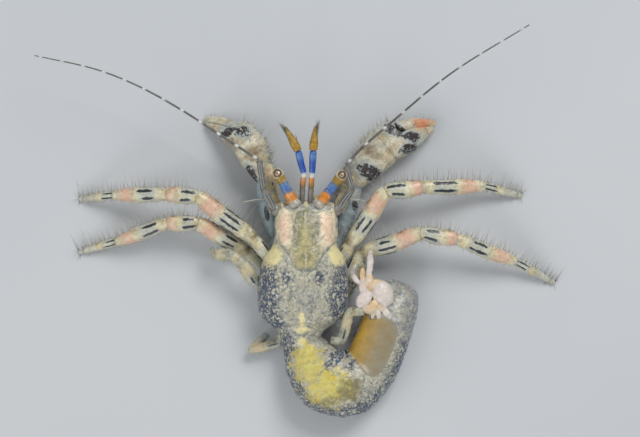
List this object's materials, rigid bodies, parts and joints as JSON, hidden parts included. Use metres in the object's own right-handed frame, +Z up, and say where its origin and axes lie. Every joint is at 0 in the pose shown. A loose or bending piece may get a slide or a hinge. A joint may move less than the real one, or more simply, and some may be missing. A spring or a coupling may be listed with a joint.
{
  "type": "hermit crab",
  "caption": "Shell-less right-handed hermit crab lying flat, claws and long feelers forward, banded legs spread, soft mottled abdomen curled to one side.",
  "frame": {"origin": "on the floor, under the middle of the thorax, on the flat where the thorax rests", "axes": "+Z up, head towards -Y, the animal's left towards +X"},
  "size_m": [0.0518, 0.0389, 0.0077],
  "materials": {
    "shield_plate": "cream shell plate with pink side bands and an olive-grey middle, wet gloss",
    "carapace_skin": "cream spots in a navy blue network over soft skin, wet gloss",
    "thorax_skin": "pale cream underside skin, wet gloss",
    "abdomen_skin": "translucent skin over yellow and olive, with blue mottled edges, wet gloss",
    "tail_fan": "cream-white hard plates, satin gloss",
    "cornea": "cream eye with a dark brown ring, high gloss",
    "eyestalk": "bands of pale grey, orange, blue and olive yellow, gloss",
    "antennule": "grey, orange, white and vivid blue bands, gloss",
    "antennule_lash": "yellow cone with an orange base and a grey brush, satin",
    "antenna_base": "translucent grey with white streaks, gloss",
    "feeler": "dark translucent rings with opaque white rings, gloss",
    "maxilliped": "cream and yellow with black dashes, gloss",
    "walking_leg": "cream and pink with lengthwise black stripes in a bluish halo, gloss",
    "claw_shell": "cream shell with pale green and olive shading and dark brown patches, gloss"
  },
  "bodies": {
    "root": {"abdomen_1": "abdomen_skin", "abdomen_2": "abdomen_skin", "abdomen_3": "abdomen_skin", "abdomen_4": "abdomen_skin", "antenna_lash_left": "feeler", "antenna_lash_right": "feeler", "antenna_left": "antenna_base", "antenna_right": "antenna_base", "antennule_lash_left": "antennule_lash", "antennule_lash_right": "antennule_lash", "antennule_left": "antennule", "antennule_right": "antennule", "carapace": "carapace_skin", "cheliped_left_carpus": "claw_shell", "cheliped_left_dactyl": "claw_shell", "cheliped_left_ischium": "claw_shell", "cheliped_left_merus": "claw_shell", "cheliped_left_palm": "claw_shell", "cheliped_right_carpus": "claw_shell", "cheliped_right_dactyl": "claw_shell", "cheliped_right_ischium": "claw_shell", "cheliped_right_merus": "claw_shell", "cheliped_right_palm": "claw_shell", "cornea_left": "cornea", "cornea_right": "cornea", "eyestalk_left": "eyestalk", "eyestalk_right": "eyestalk", "leg_2_left_carpus": "walking_leg", "leg_2_left_dactyl": "walking_leg", "leg_2_left_ischium": "walking_leg", "leg_2_left_merus": "walking_leg", "leg_2_left_propodus": "walking_leg", "leg_2_right_carpus": "walking_leg", "leg_2_right_dactyl": "walking_leg", "leg_2_right_ischium": "walking_leg", "leg_2_right_merus": "walking_leg", "leg_2_right_propodus": "walking_leg", "leg_3_left_carpus": "walking_leg", "leg_3_left_dactyl": "walking_leg", "leg_3_left_ischium": "walking_leg", "leg_3_left_merus": "walking_leg", "leg_3_left_propodus": "walking_leg", "leg_3_right_carpus": "walking_leg", "leg_3_right_dactyl": "walking_leg", "leg_3_right_ischium": "walking_leg", "leg_3_right_merus": "walking_leg", "leg_3_right_propodus": "walking_leg", "leg_4_left": "walking_leg", "leg_4_right": "walking_leg", "leg_5_left": "walking_leg", "leg_5_right": "walking_leg", "maxilliped_left": "maxilliped", "maxilliped_right": "maxilliped", "shield": "shield_plate", "tail_somite": "tail_fan", "telson": "tail_fan", "thorax": "thorax_skin", "uropod_left": "tail_fan", "uropod_right": "tail_fan"}
  },
  "joints": []
}
